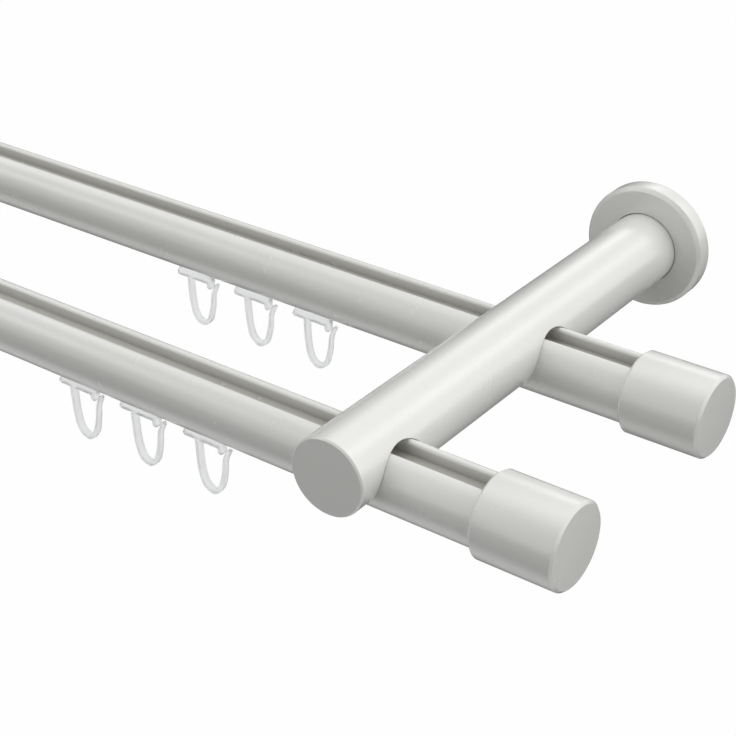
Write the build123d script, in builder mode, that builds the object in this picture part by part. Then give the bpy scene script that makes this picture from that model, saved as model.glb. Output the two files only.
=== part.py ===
from build123d import *
import os
from math import asin, atan2, cos, hypot, sin

# Double curtain pole: two round poles with an inner track, carried by two wall brackets.
# Sizes are in millimetres. X runs along the poles, Y runs into the wall and Z is up.
# The origin is on the wall, half way between the brackets, at the height of their arms.

# Poles: an extruded profile with an open groove on top and the gliders' track below
POLE_LENGTH = 1000.0
POLE_DIAMETER = 20.0
POLE_WALL = 1.6
FRONT_POLE_TO_WALL = 151.4
POLE_SPACING = 73.5
POLE_DROP = 4.7  # the poles' axes lie this far below the arms' axes
GROOVE_WIDTH = 6.4
GROOVE_FLOOR = 5.2  # height of the groove's floor above the pole's axis
GROOVE_LIP_RADIUS = 1.1
TRACK_SLOT_WIDTH = 3.2
TRACK_LEDGE = 7.4  # depth below the pole's axis of the ledges that the gliders run on
SLOT_LIP_RADIUS = 0.3

# Bracket arms: solid round bars with a saddle for each pole, open underneath
ARM_DIAMETER = 22.5
ARM_NOSE = 17.5  # from the front pole's axis to the flat front face
ARM_EDGE_BREAK = 0.5
SADDLE_CLEARANCE = 0.1
POLE_PAST_ARM = 38.1  # bare pole from the arm's axis to the mouth of the end cap

# Wall fixing: a plate with a spigot, hidden by a rosette
PLATE_DIAMETER = 36.0
PLATE_THICKNESS = 3.0
SPIGOT_DIAMETER = 14.0
SPIGOT_LENGTH = 15.0
SPIGOT_CHAMFER = 0.5
SPIGOT_CLEARANCE = 0.05
SPIGOT_BORE_SPARE = 1.0
WALL_SCREW_SPACING = 26.0
WALL_SCREW_HOLE = 4.5
WALL_SCREW_HEAD = 8.6
ROSETTE_DIAMETER = 39.8
ROSETTE_THICKNESS = 6.3
ROSETTE_CHAMFER_FACE = 1.2
ROSETTE_CHAMFER_RIM = 1.2
ROSETTE_CLEARANCE = 0.15

# End caps: turned cups pushed over the ends of the poles
CAP_DIAMETER = 23.9
CAP_LENGTH = 24.0
CAP_END_WALL = 3.0
CAP_EDGE_BREAK = 0.8
CAP_CLEARANCE = 0.1

# Grub screws with a hexagon socket
POLE_SCREW_DIAMETER = 4.0
POLE_SCREW_LENGTH = 6.0
POLE_SCREW_SOCKET = 2.0
POLE_SCREW_WALL = 1.0024  # metal between the screw's hole and the saddle's open mouth, on the wall side
ARM_SCREW_DIAMETER = 5.0
ARM_SCREW_LENGTH = 4.0
ARM_SCREW_SOCKET = 2.5
ARM_SCREW_TO_WALL = 12.0
SCREW_CLEARANCE = 0.05
SCREW_CHAMFER = 0.5
SOCKET_DEPTH = 2.0

# Gliders: a head in the track, a foot plate under the pole and an open hook
GLIDERS_PER_GROUP = 3
GLIDER_PITCH = 24.3
FRONT_GLIDER_TO_ARM = 63.9  # from the arm's axis to the near glider's left end
REAR_GLIDER_TO_ARM = 83.4
GLIDER_RUNNING_GAP = 0.4
GLIDER_THICKNESS = 2.2
HEAD_LENGTH = 9.0
HEAD_WIDTH = 7.0
HEAD_HEIGHT = 2.0
HEAD_CORNER = 2.0
HEAD_EDGE_BREAK = 0.5
NECK_LENGTH = 6.0
NECK_CENTRE = 7.4  # from the glider's left end
FOOT_LENGTH = 14.8
FOOT_HEIGHT = 4.2
FOOT_BEVEL = 1.8  # how far the foot's left end leans in at the top
NUB_WIDTH = 2.0
NUB_DROP = 1.7
HOOK_LEG_WIDTH = 1.6
HOOK_TIP_WIDTH = 1.2
HOOK_TIP_THICKNESS = 1.5
HOOK_STEPS = 10
# the middle of the hook, from the foot's lower edge down and round to the free tip
HOOK_ROUTE = [(5.2, 0.4), (5.5, -4.9), (6.2, -10.8), (7.9, -14.3), (10.2, -15.3),
              (12.4, -14.1), (13.8, -11.0), (14.7, -6.5), (15.1, -3.1), (16.5, 0.1)]

POLE_RADIUS = POLE_DIAMETER / 2
ARM_RADIUS = ARM_DIAMETER / 2
PLATE_RADIUS = PLATE_DIAMETER / 2
SPIGOT_RADIUS = SPIGOT_DIAMETER / 2
ROSETTE_RADIUS = ROSETTE_DIAMETER / 2
CAP_RADIUS = CAP_DIAMETER / 2
REAR_POLE_TO_WALL = FRONT_POLE_TO_WALL - POLE_SPACING
CAP_MOUTH_X = POLE_LENGTH / 2 + CAP_END_WALL - CAP_LENGTH
BRACKET_X = CAP_MOUTH_X - POLE_PAST_ARM
SIDES = {"left": -1, "right": 1}
POLES = {"front": FRONT_POLE_TO_WALL, "rear": REAR_POLE_TO_WALL}
GLIDER_LENGTH = HOOK_ROUTE[-1][0] + HOOK_TIP_WIDTH / 2
FIRST_GLIDER = {"front": FRONT_GLIDER_TO_ARM, "rear": REAR_GLIDER_TO_ARM}


def save(part, name):
    """Label a finished piece and write it to its own file."""
    part.label = name
    export_step(part, f"parts/{name}.step")


def along_x(x, to_wall, side=1):
    """A plane square to the pole that lies to_wall from the wall, facing along X."""
    return Plane(origin=(x, -to_wall, -POLE_DROP), x_dir=(0, 1, 0), z_dir=(side, 0, 0))


def from_wall(x, to_wall=0.0):
    """A plane parallel to the wall at this distance from it, facing the room."""
    return Plane(origin=(x, -to_wall, 0), x_dir=(1, 0, 0), z_dir=(0, -1, 0))


def pole_screw_plane(x, to_wall):
    """The seat of a pole's grub screw, on the pole's surface, facing out along the screw.

    The screw leans below level by so much that its hole leaves the arm's underside beyond the saddle.
    """
    clear = POLE_RADIUS + SADDLE_CLEARANCE + POLE_SCREW_WALL
    hole = POLE_SCREW_DIAMETER / 2 + SCREW_CLEARANCE
    lean = asin((ARM_RADIUS - POLE_DROP) / hypot(clear, hole)) - atan2(hole, clear)
    outward = Vector(0, cos(lean), -sin(lean))
    seat = Vector(x, -to_wall, -POLE_DROP) + outward * POLE_RADIUS
    return Plane(origin=seat, x_dir=(1, 0, 0), z_dir=outward)


def arm_screw_plane(x):
    """The seat of an arm's grub screw, on the underside of the wall plate's spigot."""
    return Plane(origin=(x, -ARM_SCREW_TO_WALL, -SPIGOT_RADIUS), x_dir=(1, 0, 0), z_dir=(0, 0, -1))


# Poles
def make_pole(to_wall):
    with BuildPart() as pole:
        with BuildSketch(along_x(-POLE_LENGTH / 2, to_wall)) as outline:
            Circle(POLE_RADIUS)
            with Locations((0, GROOVE_FLOOR)):
                Rectangle(GROOVE_WIDTH, POLE_RADIUS, align=(Align.CENTER, Align.MIN), mode=Mode.SUBTRACT)
            fillet(outline.vertices().group_by(Axis.Y)[-1], GROOVE_LIP_RADIUS)
            with Locations((0, -TRACK_LEDGE / 2)):
                Rectangle(TRACK_SLOT_WIDTH, POLE_RADIUS, align=(Align.CENTER, Align.MAX), mode=Mode.SUBTRACT)
            fillet(outline.vertices().group_by(Axis.Y)[0], SLOT_LIP_RADIUS)
        extrude(amount=POLE_LENGTH)
        with BuildSketch(along_x(-POLE_LENGTH / 2, to_wall)):
            Circle(POLE_RADIUS - POLE_WALL)
            with Locations((0, -TRACK_LEDGE)):
                Rectangle(POLE_DIAMETER, POLE_RADIUS, align=(Align.CENTER, Align.MAX), mode=Mode.SUBTRACT)
            with Locations((0, GROOVE_FLOOR - POLE_WALL)):
                Rectangle(GROOVE_WIDTH + 2 * POLE_WALL, POLE_RADIUS,
                          align=(Align.CENTER, Align.MIN), mode=Mode.SUBTRACT)
        extrude(amount=POLE_LENGTH, mode=Mode.SUBTRACT)
    return pole.part


# End caps
def make_cap(side, to_wall):
    with BuildPart() as cap:
        with BuildSketch(along_x(side * CAP_MOUTH_X, to_wall, side)):
            Circle(CAP_RADIUS)
        extrude(amount=CAP_LENGTH)
        chamfer(cap.edges().filter_by(GeomType.CIRCLE), CAP_EDGE_BREAK)
        with BuildSketch(along_x(side * CAP_MOUTH_X, to_wall, side)):
            Circle(POLE_RADIUS + CAP_CLEARANCE)
        extrude(amount=CAP_LENGTH - CAP_END_WALL, mode=Mode.SUBTRACT)
    return cap.part


# Bracket arms
def make_arm(x):
    with BuildPart() as arm:
        with BuildSketch(from_wall(x, PLATE_THICKNESS)):
            Circle(ARM_RADIUS)
        extrude(amount=FRONT_POLE_TO_WALL + ARM_NOSE - PLATE_THICKNESS)
        chamfer(arm.faces().sort_by(Axis.Y)[0].edges(), ARM_EDGE_BREAK)
        for to_wall in POLES.values():
            with BuildSketch(along_x(x - ARM_RADIUS, to_wall)):
                Circle(POLE_RADIUS + SADDLE_CLEARANCE)
            extrude(amount=ARM_DIAMETER, mode=Mode.SUBTRACT)
            with BuildSketch(pole_screw_plane(x, to_wall)):
                Circle(POLE_SCREW_DIAMETER / 2 + SCREW_CLEARANCE)
            extrude(amount=ARM_DIAMETER, mode=Mode.SUBTRACT)
        with BuildSketch(from_wall(x, PLATE_THICKNESS)):
            Circle(SPIGOT_RADIUS + SPIGOT_CLEARANCE)
        extrude(amount=SPIGOT_LENGTH + SPIGOT_BORE_SPARE, mode=Mode.SUBTRACT)
        with BuildSketch(arm_screw_plane(x)):
            Circle(ARM_SCREW_DIAMETER / 2 + SCREW_CLEARANCE)
        extrude(amount=ARM_RADIUS, mode=Mode.SUBTRACT)
    return arm.part


# Wall plates
def make_wall_plate(x):
    with BuildPart() as plate:
        with BuildSketch(from_wall(x)):
            Circle(PLATE_RADIUS)
        extrude(amount=PLATE_THICKNESS)
        with BuildSketch(from_wall(x, PLATE_THICKNESS)):
            Circle(SPIGOT_RADIUS)
        extrude(amount=SPIGOT_LENGTH)
        chamfer(plate.faces().sort_by(Axis.Y)[0].edges(), SPIGOT_CHAMFER)
        with Locations(from_wall(x, PLATE_THICKNESS)):
            with GridLocations(0, WALL_SCREW_SPACING, 1, 2):
                CounterSinkHole(WALL_SCREW_HOLE / 2, WALL_SCREW_HEAD / 2)
    return plate.part


# Rosettes
def make_rosette(x):
    front_wall = ROSETTE_THICKNESS - PLATE_THICKNESS - ROSETTE_CLEARANCE
    bore = ARM_RADIUS + ROSETTE_CLEARANCE
    recess = PLATE_RADIUS + ROSETTE_CLEARANCE
    with BuildPart() as rosette:
        with BuildSketch(Plane(origin=(x, 0, 0), x_dir=(1, 0, 0), z_dir=(0, 0, 1))):
            with BuildLine():
                Polyline((bore, front_wall - ROSETTE_THICKNESS), (bore, -ROSETTE_THICKNESS),
                         (ROSETTE_RADIUS - ROSETTE_CHAMFER_FACE, -ROSETTE_THICKNESS),
                         (ROSETTE_RADIUS, ROSETTE_CHAMFER_RIM - ROSETTE_THICKNESS),
                         (ROSETTE_RADIUS, 0), (recess, 0), (recess, front_wall - ROSETTE_THICKNESS),
                         close=True)
            make_face()
        revolve(axis=Axis((x, 0, 0), (0, 1, 0)))
    return rosette.part


# Grub screws
def make_grub_screw(seat, diameter, length, socket):
    with BuildPart() as screw:
        with BuildSketch(seat):
            Circle(diameter / 2)
        extrude(amount=length)
        chamfer(screw.edges().filter_by(GeomType.CIRCLE), SCREW_CHAMFER)
        with BuildSketch(seat.offset(length)):
            RegularPolygon(socket / 2, 6, major_radius=False)
        extrude(amount=-SOCKET_DEPTH, mode=Mode.SUBTRACT)
    return screw.part


# Gliders
def hook_outline():
    """Both edges of the hook, which narrows evenly from its leg to its tip, and the tip's end."""
    with BuildLine() as route:
        Spline(*HOOK_ROUTE)
    outer, inner = [], []
    for step in range(HOOK_STEPS + 1):
        t = step / HOOK_STEPS
        half = (HOOK_LEG_WIDTH + (HOOK_TIP_WIDTH - HOOK_LEG_WIDTH) * t) / 2
        across = (route.line % t).rotate(Axis.Z, 90) * half
        outer.append(route.line @ t - across)
        inner.append(route.line @ t + across)
    tip = route.line @ 1 + (route.line % 1) * (HOOK_TIP_WIDTH / 2)
    return outer, inner, tip


def make_glider(left_end, to_wall):
    head_floor = GLIDER_RUNNING_GAP - POLE_DROP - TRACK_LEDGE
    foot_top = -POLE_DROP - POLE_RADIUS - GLIDER_RUNNING_GAP
    foot_bottom = foot_top - FOOT_HEIGHT
    side_view = Plane(origin=(left_end, -to_wall, foot_bottom), x_dir=(1, 0, 0), z_dir=(0, -1, 0))
    nub_left, nub_waist = FOOT_LENGTH - NUB_WIDTH, NUB_WIDTH / 2 - NUB_DROP
    outer, inner, tip = hook_outline()
    deepest, low = min(HOOK_ROUTE, key=lambda point: point[1])
    high = HOOK_ROUTE[-1][1]
    with BuildPart() as glider:
        # hook, cut thinner on both faces as it rises to its tip
        with BuildSketch(side_view):
            with BuildLine():
                Spline(*outer)
                ThreePointArc(outer[-1], tip, inner[-1])
                Spline(*inner)
                Line(outer[0], inner[0])
            make_face()
        extrude(amount=GLIDER_THICKNESS / 2, both=True)
        end_view = Plane(origin=(left_end + deepest, -to_wall, foot_bottom), x_dir=(0, 1, 0), z_dir=(1, 0, 0))
        for face in (-1, 1):
            with BuildSketch(end_view):
                with BuildLine():
                    Polyline((face * GLIDER_THICKNESS / 2, low), (face * HOOK_TIP_THICKNESS / 2, high),
                             (face * HOOK_TIP_THICKNESS / 2, high + HOOK_TIP_WIDTH),
                             (face * GLIDER_THICKNESS, high + HOOK_TIP_WIDTH),
                             (face * GLIDER_THICKNESS, low), close=True)
                make_face()
            extrude(amount=GLIDER_LENGTH - deepest, mode=Mode.SUBTRACT)
        # foot plate, with a leaning left end and a round nub at the right that shuts the hook
        with BuildSketch(side_view):
            with BuildLine():
                Polyline((FOOT_BEVEL, FOOT_HEIGHT), (0, HOOK_LEG_WIDTH / 2), (HOOK_LEG_WIDTH / 2, 0),
                         (nub_left, 0), (nub_left, nub_waist))
                ThreePointArc((nub_left, nub_waist), (nub_left + NUB_WIDTH / 2, -NUB_DROP),
                              (FOOT_LENGTH, nub_waist))
                Polyline((FOOT_LENGTH, nub_waist), (FOOT_LENGTH, FOOT_HEIGHT), (FOOT_BEVEL, FOOT_HEIGHT))
            make_face()
        extrude(amount=GLIDER_THICKNESS / 2, both=True)
        # neck through the slot, and a broad head that runs on the ledges
        with BuildSketch(Plane.XY.offset(foot_top)):
            with Locations((left_end + NECK_CENTRE, -to_wall)):
                Rectangle(NECK_LENGTH, GLIDER_THICKNESS)
        extrude(amount=head_floor - foot_top)
        with BuildSketch(Plane.XY.offset(head_floor)):
            with Locations((left_end + NECK_CENTRE, -to_wall)):
                RectangleRounded(HEAD_LENGTH, HEAD_WIDTH, HEAD_CORNER)
        extrude(amount=HEAD_HEIGHT)
        chamfer(glider.faces().sort_by(Axis.Z)[-1].edges(), HEAD_EDGE_BREAK)
    return glider.part


for row, to_wall in POLES.items():
    save(make_pole(to_wall), f"{row}_pole")
    for hand, side in SIDES.items():
        save(make_cap(side, to_wall), f"{hand}_{row}_cap")
        save(make_grub_screw(pole_screw_plane(side * BRACKET_X, to_wall), POLE_SCREW_DIAMETER,
                             POLE_SCREW_LENGTH, POLE_SCREW_SOCKET), f"{hand}_{row}_pole_screw")
    for place in range(GLIDERS_PER_GROUP):
        near_arm = FIRST_GLIDER[row] + (GLIDERS_PER_GROUP - 1 - place) * GLIDER_PITCH
        save(make_glider(BRACKET_X - near_arm, to_wall), f"{row}_glider_{GLIDERS_PER_GROUP + 1 + place}")
        near_arm = FIRST_GLIDER[row] + place * GLIDER_PITCH
        save(make_glider(near_arm - GLIDER_LENGTH - BRACKET_X, to_wall), f"{row}_glider_{1 + place}")

for hand, side in SIDES.items():
    save(make_arm(side * BRACKET_X), f"{hand}_arm")
    save(make_wall_plate(side * BRACKET_X), f"{hand}_wall_plate")
    save(make_rosette(side * BRACKET_X), f"{hand}_rosette")
    save(make_grub_screw(arm_screw_plane(side * BRACKET_X), ARM_SCREW_DIAMETER,
                         ARM_SCREW_LENGTH, ARM_SCREW_SOCKET), f"{hand}_arm_screw")
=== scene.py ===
"""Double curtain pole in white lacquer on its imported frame: smooth meshes, finishes, studio and camera.

Sizes in the classes are millimetres unless a comment says otherwise, and meshes are in metres. Places come
from the boxes of the frame's own nodes. X runs along the poles, Y runs into the wall and Z is up. The origin
is on the wall, half way between the brackets.
"""

import logging
import math
from dataclasses import dataclass
from enum import Enum
from typing import Optional

import bmesh
import bpy
import numpy as np
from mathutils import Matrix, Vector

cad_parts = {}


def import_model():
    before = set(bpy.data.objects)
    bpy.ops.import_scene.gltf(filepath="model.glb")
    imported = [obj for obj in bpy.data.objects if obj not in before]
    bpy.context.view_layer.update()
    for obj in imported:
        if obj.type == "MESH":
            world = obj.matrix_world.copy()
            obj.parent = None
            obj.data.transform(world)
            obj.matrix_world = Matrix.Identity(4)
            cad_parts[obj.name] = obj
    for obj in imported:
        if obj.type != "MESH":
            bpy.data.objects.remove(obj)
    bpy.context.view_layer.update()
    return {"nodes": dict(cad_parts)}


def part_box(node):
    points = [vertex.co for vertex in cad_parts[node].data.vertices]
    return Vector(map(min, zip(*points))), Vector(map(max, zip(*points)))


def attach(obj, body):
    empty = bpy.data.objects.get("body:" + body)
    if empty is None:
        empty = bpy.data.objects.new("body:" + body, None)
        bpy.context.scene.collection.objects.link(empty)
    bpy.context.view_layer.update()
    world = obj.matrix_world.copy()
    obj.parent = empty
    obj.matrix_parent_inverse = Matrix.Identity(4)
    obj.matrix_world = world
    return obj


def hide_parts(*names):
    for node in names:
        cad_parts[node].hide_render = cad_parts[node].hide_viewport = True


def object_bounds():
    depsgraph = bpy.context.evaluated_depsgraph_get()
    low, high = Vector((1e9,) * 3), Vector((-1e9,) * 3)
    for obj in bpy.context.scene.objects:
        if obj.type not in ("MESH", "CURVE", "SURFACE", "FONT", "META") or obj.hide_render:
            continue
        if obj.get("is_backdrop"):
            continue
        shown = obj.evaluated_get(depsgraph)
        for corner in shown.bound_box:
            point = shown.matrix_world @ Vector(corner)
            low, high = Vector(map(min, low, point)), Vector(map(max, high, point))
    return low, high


log = logging.getLogger("curtain_pole")

MM = 0.001
WELD = 0.002  # millimetres: seams closer than this are merged
SLIVER = 0.0005  # millimetres: edges shorter than this are taken out
SHARP_EDGE = 28.0  # degrees between faces, above which an edge stays crisp
POLE_SET = "pole_set"
PAINTED_SHADE = "painted_groove_shade"  # how much painted shade a point of a mesh takes: shade painted into the pole's groove, where its walls shade it
WHITE = (1.0, 1.0, 1.0, 1.0)


class Row(Enum):
    """The two poles, by how near they are to the room."""

    FRONT = "front"
    REAR = "rear"


class Hand(Enum):
    """The two ends of the set, seen from the room."""

    LEFT = "left"
    RIGHT = "right"


def linear(code: str) -> tuple[float, float, float, float]:
    """Turns an sRGB hex colour into linear RGBA.

    Args:
        code: the colour, such as "#E9E8E4".

    Returns:
        Four linear values with an alpha of one.
    """
    values = [int(code[i:i + 2], 16) / 255 for i in (1, 3, 5)]
    parts = [v / 12.92 if v <= 0.04045 else ((v + 0.055) / 1.055) ** 2.4 for v in values]
    return parts[0], parts[1], parts[2], 1.0


def add_node(tree: bpy.types.NodeTree, kind: str, values: Optional[dict] = None,
             links: Optional[dict] = None, **settings: object) -> bpy.types.Node:
    """Adds a node with its settings, its fixed input values and its links.

    Args:
        tree: the node tree that takes the node.
        kind: the node's type name.
        values: input values by socket name or number.
        links: output sockets by the name or number of the input that they feed.
        settings: attributes of the node, such as a blend type.

    Returns:
        The new node.
    """
    node = tree.nodes.new(kind)
    for key, value in settings.items():
        setattr(node, key, value)
    for key, value in (values or {}).items():
        node.inputs[key].default_value = value
    for key, socket in (links or {}).items():
        tree.links.new(socket, node.inputs[key])
    return node


def seen_directly(tree: bpy.types.NodeTree) -> bpy.types.NodeSocket:
    """Makes a value that is one for rays from the camera, straight or through plastic, and zero for others.

    Args:
        tree: the node tree that takes the nodes.

    Returns:
        The value's socket.
    """
    path = add_node(tree, "ShaderNodeLightPath")
    seen = add_node(tree, "ShaderNodeMath", operation="MAXIMUM",
                    links={0: path.outputs["Is Camera Ray"], 1: path.outputs["Is Transmission Ray"]})
    return seen.outputs[0]


@dataclass(frozen=True)
class Pattern:
    """A noise over a surface, such as clouds, haze or grain."""

    size: float  # millimetres from one wave to the next
    octaves: float  # how many finer waves lie on it


@dataclass(frozen=True)
class Finish:
    """What every finish has: a pattern that mixes two tones, one that varies the gloss, and a fine relief."""

    slot: str
    name: str
    colour: str
    other_colour: str
    gloss: float
    dull: float
    tone: Pattern
    haze: Pattern
    relief: Pattern
    relief_depth: float  # millimetres

    def material(self) -> bpy.types.Material:
        """Makes the material, with its patterns fixed to the piece's own coordinates.

        Returns:
            The material, named for what it is and how its surface was made.
        """
        material = bpy.data.materials.new(self.name)
        material.use_nodes = True
        tree = material.node_tree
        tree.nodes.clear()
        place = add_node(tree, "ShaderNodeTexCoord").outputs["Object"]
        noises = []
        for pattern in (self.tone, self.haze, self.relief):
            values = {"Scale": 1 / (pattern.size * MM), "Detail": pattern.octaves}
            noises.append(add_node(tree, "ShaderNodeTexNoise", values, {"Vector": place}).outputs["Fac"])
        tone, haze, relief = noises
        colour = add_node(tree, "ShaderNodeMix", {6: linear(self.other_colour), 7: linear(self.colour)},
                          {"Factor": tone}, data_type="RGBA")
        rough = add_node(tree, "ShaderNodeMapRange", {"To Min": self.gloss, "To Max": self.dull},
                         {"Value": haze})
        bump = add_node(tree, "ShaderNodeBump", {"Strength": 1.0, "Distance": self.relief_depth * MM},
                        {"Height": relief})
        shader = add_node(tree, "ShaderNodeBsdfPrincipled", links={
            "Base Color": colour.outputs[2], "Roughness": rough.outputs["Result"],
            "Normal": bump.outputs["Normal"]})
        self.adapt(tree, shader)
        add_node(tree, "ShaderNodeOutputMaterial", links={"Surface": shader.outputs["BSDF"]})
        return material

    def adapt(self, tree: bpy.types.NodeTree, shader: bpy.types.Node) -> None:
        """Adds what only this finish has, which is nothing here."""


@dataclass(frozen=True)
class WhiteLacquer(Finish):
    """White stoving lacquer sprayed on aluminium under a clear coat: smooth, faintly warm, softly shining.

    Slow clouds keep long pieces from looking flat, and the sprayed skin's fine waves soften the reflections.
    """

    slot: str = "white_lacquer"
    name: str = "white_stoving_lacquer"
    colour: str = "#E4E4E1"
    other_colour: str = "#DFDFDB"  # where the coat is a little thinner
    groove_shade_colour: str = "#B3B2AB"  # painted shade down in a groove, standing for the shade that its walls cast there
    gloss: float = 0.22
    dull: float = 0.30
    density: float = 1.57  # index of refraction of both layers
    tone: Pattern = Pattern(60.0, 2.0)  # clouds of slightly uneven coat
    haze: Pattern = Pattern(9.0, 3.0)  # smaller patches of duller coat
    relief: Pattern = Pattern(1.8, 1.0)  # waves of the sprayed skin, as coarse as they need to be to show
    relief_depth: float = 0.0018

    def adapt(self, tree: bpy.types.NodeTree, shader: bpy.types.Node) -> None:
        """Mixes a painted shade of grey into the colour where the mesh marks groove shade, and lays the clear
        coat on top.

        Args:
            tree: the material's tree.
            shader: its shader, with colour, roughness and normal linked.
        """
        full, rough, normal = [shader.inputs[name].links[0].from_socket
                               for name in ("Base Color", "Roughness", "Normal")]
        # painted shade: the colour turns towards a grey where the mesh marks the groove's shade
        share = add_node(tree, "ShaderNodeAttribute", attribute_name=PAINTED_SHADE).outputs["Fac"]
        colour = add_node(tree, "ShaderNodeMix", {7: linear(self.groove_shade_colour)}, {"Factor": share, 6: full},
                          data_type="RGBA")
        tree.links.new(colour.outputs[2], shader.inputs["Base Color"])
        tree.links.new(rough, shader.inputs["Coat Roughness"])
        tree.links.new(normal, shader.inputs["Coat Normal"])
        shader.inputs["IOR"].default_value = self.density
        shader.inputs["Coat IOR"].default_value = self.density
        shader.inputs["Coat Weight"].default_value = 1.0


@dataclass(frozen=True)
class MilkyPlastic(Finish):
    """Natural acetal, injection moulded: milky, translucent and satin, as sliding hooks are.

    Light that enters one face leaves by another, which gives thin hooks their pale, even look.
    """

    slot: str = "glider_plastic"
    name: str = "moulded_milky_acetal"
    colour: str = "#ECEDED"
    other_colour: str = "#E6E7E7"  # where the moulding is thicker in the flow
    gloss: float = 0.40
    dull: float = 0.52
    tone: Pattern = Pattern(6.0, 2.0)  # lazy flow marks of the moulding
    haze: Pattern = Pattern(0.5, 2.0)  # the spark-eroded mould's fine grain
    relief: Pattern = Pattern(0.5, 2.0)
    relief_depth: float = 0.004
    density: float = 1.25  # index of refraction: under the solid's 1.48, as scattered light isn't held inside
    clear: float = 0.97  # share of light that passes through the thin moulding, softened as by frosted glass
    glow: float = 0.6  # share of the rest that enters and comes out nearby
    glow_depth: float = 1.2
    glow_spread: tuple[float, float, float] = (1.0, 1.0, 0.95)  # each colour's reach, less for blue

    def adapt(self, tree: bpy.types.NodeTree, shader: bpy.types.Node) -> None:
        """Lets light through the plastic and under its surface.

        Args:
            tree: the material's tree.
            shader: its shader, with colour, roughness and normal linked.
        """
        shader.inputs["IOR"].default_value = self.density
        shader.inputs["Transmission Weight"].default_value = self.clear
        shader.inputs["Subsurface Weight"].default_value = self.glow
        shader.inputs["Subsurface Radius"].default_value = self.glow_spread
        shader.inputs["Subsurface Scale"].default_value = self.glow_depth * MM


@dataclass(frozen=True)
class BareMetal(Finish):
    """A metal surface with no paint on it."""

    def adapt(self, tree: bpy.types.NodeTree, shader: bpy.types.Node) -> None:
        """Makes the shader a metal."""
        shader.inputs["Metallic"].default_value = 1.0


@dataclass(frozen=True)
class ZincPlate(BareMetal):
    """Bright zinc plating on pressed and turned steel: cool grey metal, cloudy rather than mirror-like.

    Clouds in colour and gloss give the mottled look of a plated pressing.
    """

    slot: str = "zinc_plated_steel"
    name: str = "bright_zinc_plating"
    colour: str = "#C9CCCE"
    other_colour: str = "#B4B8BB"
    gloss: float = 0.26
    dull: float = 0.42
    tone: Pattern = Pattern(7.0, 4.0)  # clouds of the plating bath
    haze: Pattern = Pattern(7.0, 4.0)
    relief: Pattern = Pattern(0.6, 2.0)  # grain of the rolled steel under the plating
    relief_depth: float = 0.006


@dataclass(frozen=True)
class ScrewSteel(BareMetal):
    """Stainless grub screws, turned and tumbled: neutral grey metal with fine tool marks.

    The marks break the small highlights up.
    """

    slot: str = "steel_screw"
    name: str = "turned_stainless_steel"
    colour: str = "#B3B2AF"
    other_colour: str = "#9A9996"
    gloss: float = 0.22
    dull: float = 0.38
    tone: Pattern = Pattern(0.35, 3.0)  # fine marks of turning and tumbling
    haze: Pattern = Pattern(0.35, 3.0)
    relief: Pattern = Pattern(0.35, 3.0)
    relief_depth: float = 0.004


def box_mm(node: str) -> tuple[np.ndarray, np.ndarray]:
    """The lowest and highest corner of a CAD node at rest, in millimetres."""
    low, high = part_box(node)
    return np.array(low) / MM, np.array(high) / MM


def arc(centre: tuple[float, float], radius: float, start: float, end: float, steps: int) -> np.ndarray:
    """Points on an arc: centre + radius * (cos a, sin a), with a going evenly from start to end.

    Args:
        centre: the arc's centre.
        radius: its radius.
        start: the first angle in degrees.
        end: the last angle in degrees.
        steps: how many chords it has.

    Returns:
        An array of steps + 1 points.
    """
    a = np.radians(np.linspace(start, end, steps + 1))
    return np.column_stack([centre[0] + radius * np.cos(a), centre[1] + radius * np.sin(a)])


def round_corners(line: np.ndarray, radius: float, steps: int = 4, closed: bool = False) -> np.ndarray:
    """Rounds the corners of a line by arcs that touch both of a corner's sides.

    With unit vectors u and v from the corner to its neighbours, at half-angle b to their middle direction m,
    the arc's centre is corner + m * radius / sin b. Its points swing evenly from where it touches one side to
    where it touches the other.

    Args:
        line: the corners, as an array of points.
        radius: the radius of the arcs.
        steps: chords of each arc.
        closed: whether the last corner joins the first. The ends of an open line stay as they are.

    Returns:
        The rounded line.
    """
    before, after = np.roll(line, 1, axis=0), np.roll(line, -1, axis=0)
    u = (before - line) / np.linalg.norm(before - line, axis=1, keepdims=True)
    v = (after - line) / np.linalg.norm(after - line, axis=1, keepdims=True)
    middle = u + v
    middle /= np.linalg.norm(middle, axis=1, keepdims=True)
    half = np.arccos(np.clip((u * middle).sum(1, keepdims=True), -1, 1))
    centre = line + middle * radius / np.sin(half)
    reach = radius / np.tan(half)
    first, last = line + u * reach - centre, line + v * reach - centre
    swing = np.pi - 2 * half[:, :, None]
    t = np.linspace(0, 1, steps + 1)[None, :, None]
    points = centre[:, None, :] + (np.sin((1 - t) * swing) * first[:, None, :]
                                   + np.sin(t * swing) * last[:, None, :]) / np.sin(swing)
    if closed:
        return points.reshape(-1, line.shape[1])
    return np.vstack([line[:1], points[1:-1].reshape(-1, line.shape[1]), line[-1:]])


def spin(profile: np.ndarray, origin: np.ndarray, axis: np.ndarray, side: np.ndarray,
         turns: np.ndarray) -> np.ndarray:
    """Turns a profile about an axis: origin + axis * along + radius * (cos a * side + sin a * across).

    Args:
        profile: pairs of (along, radius), in rows.
        origin: a point on the axis.
        axis: the axis as a unit vector.
        side: the direction of angle zero, square to the axis.
        turns: the angles in radians, one for each column.

    Returns:
        A grid of points, one row for each pair of the profile.
    """
    across = np.cross(axis, side)
    round_axis = np.cos(turns)[:, None] * side + np.sin(turns)[:, None] * across
    return origin + profile[:, :1, None] * axis + profile[:, 1:, None] * round_axis[None, :, :]


def full_turn(columns: int) -> np.ndarray:
    """Angles of a closed ring's columns, without the last one that would repeat the first."""
    return np.linspace(0, 2 * np.pi, columns, endpoint=False)


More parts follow.
